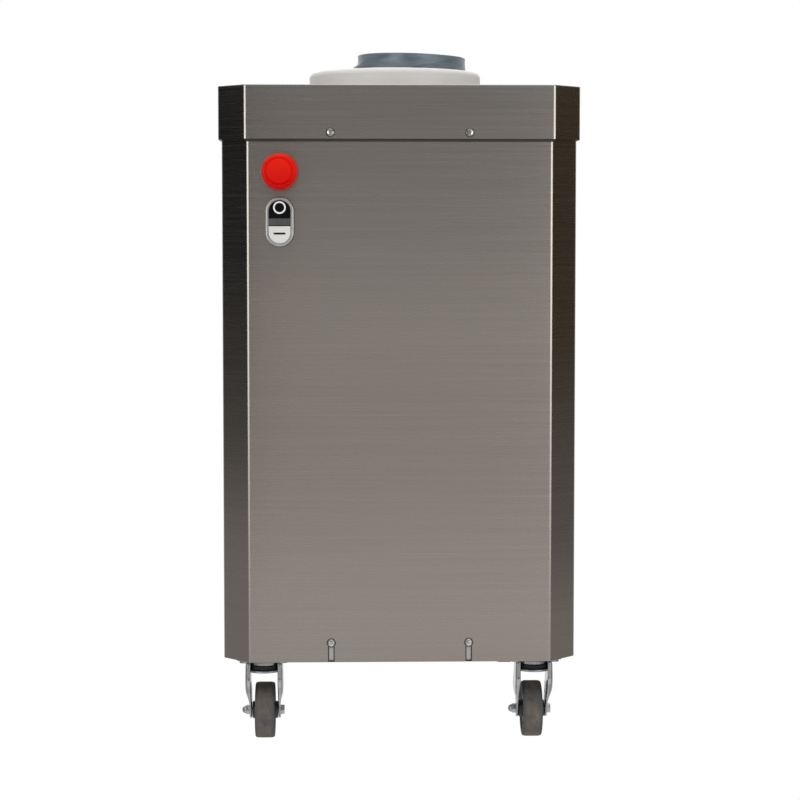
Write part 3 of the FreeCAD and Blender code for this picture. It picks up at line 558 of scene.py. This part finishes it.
def through(knots, z):
    """A smooth curve through (z, value) knots, given from the top down, read at height z."""
    spans = [i for i in range(len(knots) - 1) if knots[i + 1][0] <= z]
    i = spans[0] if spans else len(knots) - 2
    (z0, a), (z1, b) = knots[i], knots[i + 1]
    before, after = knots[max(i - 1, 0)], knots[min(i + 2, len(knots) - 1)]
    lean_a = (b - before[1]) / (z1 - before[0]) * (z1 - z0)
    lean_b = (after[1] - a) / (after[0] - z0) * (z1 - z0)
    t = (z - z0) / (z1 - z0)
    return ((2 * t ** 3 - 3 * t ** 2 + 1) * a + (t ** 3 - 2 * t ** 2 + t) * lean_a
            + (3 * t ** 2 - 2 * t ** 3) * b + (t ** 3 - t ** 2) * lean_b)


def fork_leg(x, y, side):
    """Points and faces of one pressed leg: upright below its shoulder, then back to the axle. x
    and y are the swivel's axis in metres. Each edge of it runs through (height, mm) knots."""
    inner, trail, axle_height, end = 14.4, 24.0, 30.0, 9.0
    width = [(90.5, 15.2), (90.2, 17.2), (89.2, 18.6), (87.6, 19.5), (84.0, 19.8), (66.0, 20.1),
             (58.0, 20.2), (52.0, 19.4), (46.0, 17.9), (41.0, 17.0), (38.0, 16.8), (21.0, 16.8)]
    front = [(90.5, -11.5), (87.0, -13.2), (78.0, -13.8), (67.0, -13.2), (57.0, -6.5),
             (46.0, 3.0), (36.0, 11.6), (30.0, 15.0), (21.0, 15.0)]
    rear = [(90.5, 11.5), (87.0, 13.4), (78.0, 15.4), (68.0, 18.6), (57.0, 24.6),
            (46.0, 30.0), (36.0, 32.7), (30.0, 33.0), (21.0, 33.0)]
    levels = [90.5, 90.4, 90.2, 89.8, 89.2, 88.5, 87.6, 86.6, 85.4, 84.0, 82.0]
    levels += [80.0 - 2 * k for k in range(26)]
    levels += [28.5, 27, 25.5, 24, 23, 22.2, 21.6, 21.2, 21.02]
    points, size = [], 0
    for z in levels:
        wide = through(width, z)
        low, high = through(front, z), through(rear, z)
        if z < axle_height:
            reach = math.sqrt(end ** 2 - (axle_height - z) ** 2)
            low, high = trail - reach, trail + reach
        outer_round = min(4.6, (wide - inner) * 0.8)
        outline = [(inner, (low + high) / 2), (inner, low), (wide, low), (wide, high),
                   (inner, high), (inner, (low + high) / 2)]
        section = rounded(outline, [1.0, outer_round, outer_round, 1.0])[:-1]
        size = len(section)
        points += [Vector((x / MM + side * across, y / MM + along, z)) * MM
                   for across, along in section]
    faces = grid_faces(len(levels), size)
    faces += [tuple(range(size)), tuple(range(len(points) - 1, len(points) - size - 1, -1))]
    return points, faces


def make_fork(corner):
    """The turning half of a caster: crown plate, lower bearing cup and two pressed legs."""
    low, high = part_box("caster_fork_" + corner)
    crown_radius, crown, hole = 19.8, 78.5, 5.05
    x, y = (low.x + high.x) / 2, low.y + crown_radius * MM
    outline = [(hole, 0), (19.5, 0), (19.5, 2.4), (13.5, 2.6), (13.5, 4.6), (12.2, 5.8),
               (hole, 5.8), (hole, 0)]
    profile = rounded(outline, [0.8, 1.0, 0.8, 0.6, 0.6, 0.3])[:-1]
    points, faces = turned(profile, (x, y, crown * MM), (0, 0, 1), 96)
    for side in (-1, 1):
        more, loops = fork_leg(x, y, side)
        faces += [tuple(k + len(points) for k in loop) for loop in loops]
        points += more
    fork = build("fork_" + corner, points, faces, "zinc_plate", "caster_" + corner, 40)
    weld(fork)
    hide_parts("caster_fork_" + corner)
    # painted shade: a dark ring in the gap above the lower bearing cup stands in for the shadow in
    # that gap
    outline = rounded([(12.4, 81.2), (15.3, 81.2), (15.0, 84.8), (12.4, 84.8)], [0.4, 0.6], 4)
    lathe("race_gap_shade_" + corner, outline, (x, y, 0), (0, 0, 1), "belt_rubber",
          "caster_" + corner, 96)


# ---- painted shade at seams and screws --------------------------------------------
def make_shade_pieces():
    """Dark pieces of painted shade: a strip under the lid's skirt for the shadow line below it,
    strips along the edges of the two notches under the lower screws, and a ring under each front
    screw."""
    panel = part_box("front_cover")[0].y
    lid_low, lid_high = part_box("top_cap")
    shade_strip_top, shade_strip_height = lid_low.z + 0.5 * MM, 3.2 * MM
    reach = lid_high.x - 30 * MM
    # painted shade: a black strip under the skirt's lip stands in for the shadow line it casts
    block("skirt_shadow_strip", (-reach, reach), (lid_low.y + 1.7 * MM, panel - 0.05 * MM),
          (shade_strip_top - shade_strip_height, shade_strip_top), "belt_rubber", "cabinet")

    notch_foot, notch_top, notch_sill = 96.1, 112.0, 97.7
    depth = (panel + 0.1 * MM, panel + 1.15 * MM)
    sides = ((-3.45, -2.4, notch_top), (2.4, 3.45, notch_top), (-2.4, 2.4, notch_sill))
    # painted shade: black strips along the sides and sill of each notch stand in for the dark edges
    # of the cut
    for i, x in enumerate((-SCREW_X, SCREW_X)):
        for k, (x0, x1, z1) in enumerate(sides):
            block(f"notch_edge_shade_{i}_{k}", ((x + x0) * MM, (x + x1) * MM), depth,
                  (notch_foot * MM, z1 * MM), "belt_rubber", "cabinet")

    # painted shade: a thin black ring behind each screw head stands in for the dark outline round
    # it
    spots = [(x, z, face) for x in (-SCREW_X, SCREW_X)
             for z, face in ((LID_SCREW_Z, lid_low.y), (FRONT_SCREW_Z, panel))]
    outline = rounded([(2.5, 0), (4.9, 0), (4.6, 0.5), (2.5, 0.5)], [0.1, 0.2], 3)
    for i, (x, z, face) in enumerate(spots):
        lathe(f"screw_shadow_ring_{i}", outline, (x * MM, face, z * MM), (0, -1, 0), "belt_rubber",
              "cabinet", 48)


def dress_cad_nodes():
    """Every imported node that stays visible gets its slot's material."""
    slots = {part["node"]: part["material_slot"] for part in frame["record"]["subparts"]}
    for name, obj in NODES.items():
        paint(obj, slots[name])


# ---- studio -----------------------------------------------------------------------
def sky_node(tree, kind, inputs=None, **settings):
    """Adds a node to the world's or a stage card's graph and feeds its inputs."""
    made = tree.nodes.new("ShaderNode" + kind)
    for key, value in settings.items():
        setattr(made, key, value)
    for key, value in (inputs or {}).items():
        if isinstance(value, bpy.types.NodeSocket):
            tree.links.new(value, made.inputs[key])
        else:
            made.inputs[key].default_value = value
    return made


def colour_ramp(tree, value, stops, peak):
    """A ramp whose colours may be brighter than one: they are divided by peak, and the strength of
    what it lights restores them."""
    made = sky_node(tree, "ValToRGB", {0: value})
    elements = made.color_ramp.elements
    while len(elements) < len(stops):
        elements.new(0.5)
    for element, (spot, colour) in zip(elements, stops):
        element.position = spot
        element.color = (*[c / peak for c in colour], 1.0)
    return made.outputs[0]


def make_surroundings():
    """A grey room under a light roof, brighter in front and behind than at the sides."""
    world = bpy.data.worlds.new("studio")
    bpy.context.scene.world = world
    world.use_nodes = True
    tree = world.node_tree
    background = tree.nodes["Background"]
    peak = 4.0

    split = sky_node(tree, "SeparateXYZ", {0: sky_node(tree, "TexCoord").outputs["Generated"]})
    x, y, z = split.outputs
    squares = [sky_node(tree, "Math", {0: v, 1: v}, operation="MULTIPLY").outputs[0]
               for v in (x, y)]
    level = sky_node(tree, "Math", {0: squares[0], 1: squares[1]}, operation="ADD").outputs[0]
    level = sky_node(tree, "Math", {0: level, 1: 0.5}, operation="POWER").outputs[0]
    across = sky_node(tree, "Math", {0: x, 1: level}, operation="DIVIDE").outputs[0]

    def share(value, low, high):
        """0 up to low, 1 from high on."""
        keys = {"Value": value, "From Min": low, "From Max": high}
        return sky_node(tree, "MapRange", keys).outputs[0]

    def blend(factor, a, b):
        return sky_node(tree, "Mix", {0: factor, 6: a, 7: b}, data_type="RGBA").outputs[2]

    across = share(across, -1.0, 1.0)
    side, front = (0.50, 0.49, 0.48), (1.05, 1.03, 1.01)
    stops = [(0.0, side), (0.35, front), (0.65, front), (1.0, side)]
    eye_level = colour_ramp(tree, across, stops, peak)
    side, front = (0.52, 0.51, 0.50), (1.05, 1.02, 1.0)
    stops = [(0.0, side), (0.25, front), (0.75, front), (1.0, side)]
    below = colour_ramp(tree, across, stops, peak)
    side, front = (0.32, 0.315, 0.31), (2.3, 2.28, 2.25)
    stops = [(0.0, side), (0.22, side), (0.38, front), (0.62, front), (0.78, side), (1.0, side)]
    above = colour_ramp(tree, across, stops, peak)
    roof = (1.5 / peak, 1.5 / peak, 1.5 / peak, 1.0)
    room = blend(share(z, -0.16, 0.06), below, eye_level)
    room = blend(share(z, 0.22, 0.42), room, above)
    room = blend(share(z, 0.6, 0.85), room, roof)
    tree.links.new(room, background.inputs["Color"])
    background.inputs["Strength"].default_value = peak


def stage_piece(name, points, faces):
    """A studio object that casts no shadow and takes no part in the light on matt surfaces."""
    mesh = bpy.data.meshes.new(name)
    mesh.from_pydata(points, [], faces)
    obj = bpy.data.objects.new(name, mesh)
    bpy.context.scene.collection.objects.link(obj)
    obj.visible_diffuse = obj.visible_shadow = obj.visible_transmission = False
    return obj


def glow(obj, stops, reach, strength=1.0):
    """Lights a stage piece by height. stops are (metres above the floor, colour) pairs within
    reach, the lowest and highest of them."""
    material = bpy.data.materials.new(obj.name)
    material.use_nodes = True
    tree = material.node_tree
    tree.nodes.remove(tree.nodes["Principled BSDF"])
    point = sky_node(tree, "TexCoord").outputs["Object"]
    height = sky_node(tree, "SeparateXYZ", {0: point}).outputs[2]
    keys = {"Value": height, "From Min": reach[0], "From Max": reach[1]}
    share = sky_node(tree, "MapRange", keys).outputs[0]
    spots = [((z - reach[0]) / (reach[1] - reach[0]), colour) for z, colour in stops]
    colour = colour_ramp(tree, share, spots, 1.0)
    emission = sky_node(tree, "Emission", {"Color": colour, "Strength": strength})
    tree.links.new(emission.outputs[0], tree.nodes["Material Output"].inputs["Surface"])
    obj.data.materials.append(material)


def card(name, corners, z0, z1, stops, strength=1.0):
    """An upright card between two floor points, which only mirrors see."""
    (x0, y0), (x1, y1) = corners
    points = [(x0, y0, z0), (x1, y1, z0), (x1, y1, z1), (x0, y0, z1)]
    obj = stage_piece(name, points, [(0, 1, 2, 3)])
    obj.visible_camera = False
    glow(obj, stops, (z0, z1), strength)


def make_stage():
    """A white dome that only the camera sees. Flags darken the corners, shades give the front its
    fall of grey, and softboxes light the bends."""
    count, rows, radius = 96, 24, 20.0
    points = [(radius * math.sin(math.pi * i / rows) * math.cos(2 * math.pi * k / count),
               radius * math.sin(math.pi * i / rows) * math.sin(2 * math.pi * k / count),
               radius * math.cos(math.pi * i / rows))
              for i in range(rows + 1) for k in range(count)]
    dome = stage_piece("dome", points, grid_faces(rows + 1, count))
    dome.visible_glossy = False
    white = (1, 1, 1)
    glow(dome, [(-radius, white), (radius, white)], (-radius, radius))

    flag_x, near, far = 0.30, -0.32, -0.165
    card("flag_left", ((-flag_x, near), (-flag_x, far)), -0.05, 0.74,
         [(-0.05, (0.34, 0.325, 0.31)), (0.11, (0.33, 0.315, 0.30)), (0.20, (0.29, 0.275, 0.265)),
          (0.31, (0.115, 0.107, 0.10)), (0.42, (0.045, 0.042, 0.040)),
          (0.53, (0.008, 0.008, 0.007)), (0.63, (0.0, 0.0, 0.0)), (0.74, (0.0, 0.0, 0.0))])
    card("flag_right", ((flag_x, near), (flag_x, far)), -0.05, 0.74,
         [(-0.05, (0.34, 0.32, 0.30)), (0.11, (0.33, 0.31, 0.29)), (0.20, (0.19, 0.175, 0.16)),
          (0.31, (0.125, 0.11, 0.095)), (0.42, (0.070, 0.050, 0.028)),
          (0.53, (0.050, 0.034, 0.015)), (0.74, (0.058, 0.042, 0.017))])
    card("shade_left", ((-0.36, -0.95), (-0.21, -0.95)), -0.3, 1.4,
         [(-0.3, (0.30, 0.30, 0.30)), (-0.13, (0.32, 0.32, 0.32)), (-0.09, (0.78, 0.73, 0.70)),
          (0.0, (0.60, 0.56, 0.535)), (0.25, (0.16, 0.145, 0.135)), (0.5, (0.02, 0.016, 0.014)),
          (1.4, (0.02, 0.016, 0.014))])
    card("shade_front", ((-0.209, -0.96), (0.335, -0.96)), -0.3, 1.4,
         [(-0.3, (0.30, 0.30, 0.30)), (-0.13, (0.32, 0.32, 0.32)), (-0.09, (0.90, 0.84, 0.80)),
          (0.0, (0.74, 0.69, 0.655)), (0.14, (0.60, 0.56, 0.53)), (0.26, (0.45, 0.415, 0.39)),
          (0.38, (0.55, 0.515, 0.49)), (0.455, (0.64, 0.605, 0.58)), (0.49, (0.43, 0.405, 0.385)),
          (0.53, (0.385, 0.37, 0.35)), (0.65, (0.345, 0.33, 0.315)), (0.75, (0.295, 0.285, 0.275)),
          (1.4, (0.295, 0.285, 0.275))])
    softbox_strength = 2.6
    for side in (-1, 1):
        card(f"softbox_{side}", ((side * 0.42, -1.05), (side * 0.95, -0.45)), -0.25, 0.92,
             [(-0.25, (0.22, 0.215, 0.21)), (0.02, (0.24, 0.235, 0.23)), (0.25, (0.55, 0.54, 0.52)),
              (0.45, (0.95, 0.93, 0.90)), (0.8, (1.0, 0.98, 0.95)), (0.92, (0.6, 0.59, 0.57))],
             softbox_strength)


def make_camera():
    """Eye level is under the lid, a little left of the middle, 2.1 m from the front."""
    camera = bpy.data.objects.new("camera", bpy.data.cameras.new("camera"))
    bpy.context.scene.collection.objects.link(camera)
    camera.location = (-0.0541, -2.3532, 0.5447)
    camera.rotation_euler = (math.radians(90 - 3.409), 0, math.radians(-1.462))
    camera.data.lens, camera.data.sensor_width = 91.5, 36
    camera.data.shift_y = -0.055
    camera.data.clip_end = 60
    bpy.context.scene.camera = camera


dress_cad_nodes()
make_auger()
make_collar()
make_estop_head()
make_button_marks()
make_button_shade_pieces()
for corner in CORNERS:
    make_tyre(corner)
    make_fork(corner)
make_shade_pieces()
make_surroundings()
make_stage()
make_camera()
bpy.context.scene.view_settings.view_transform = "Standard"
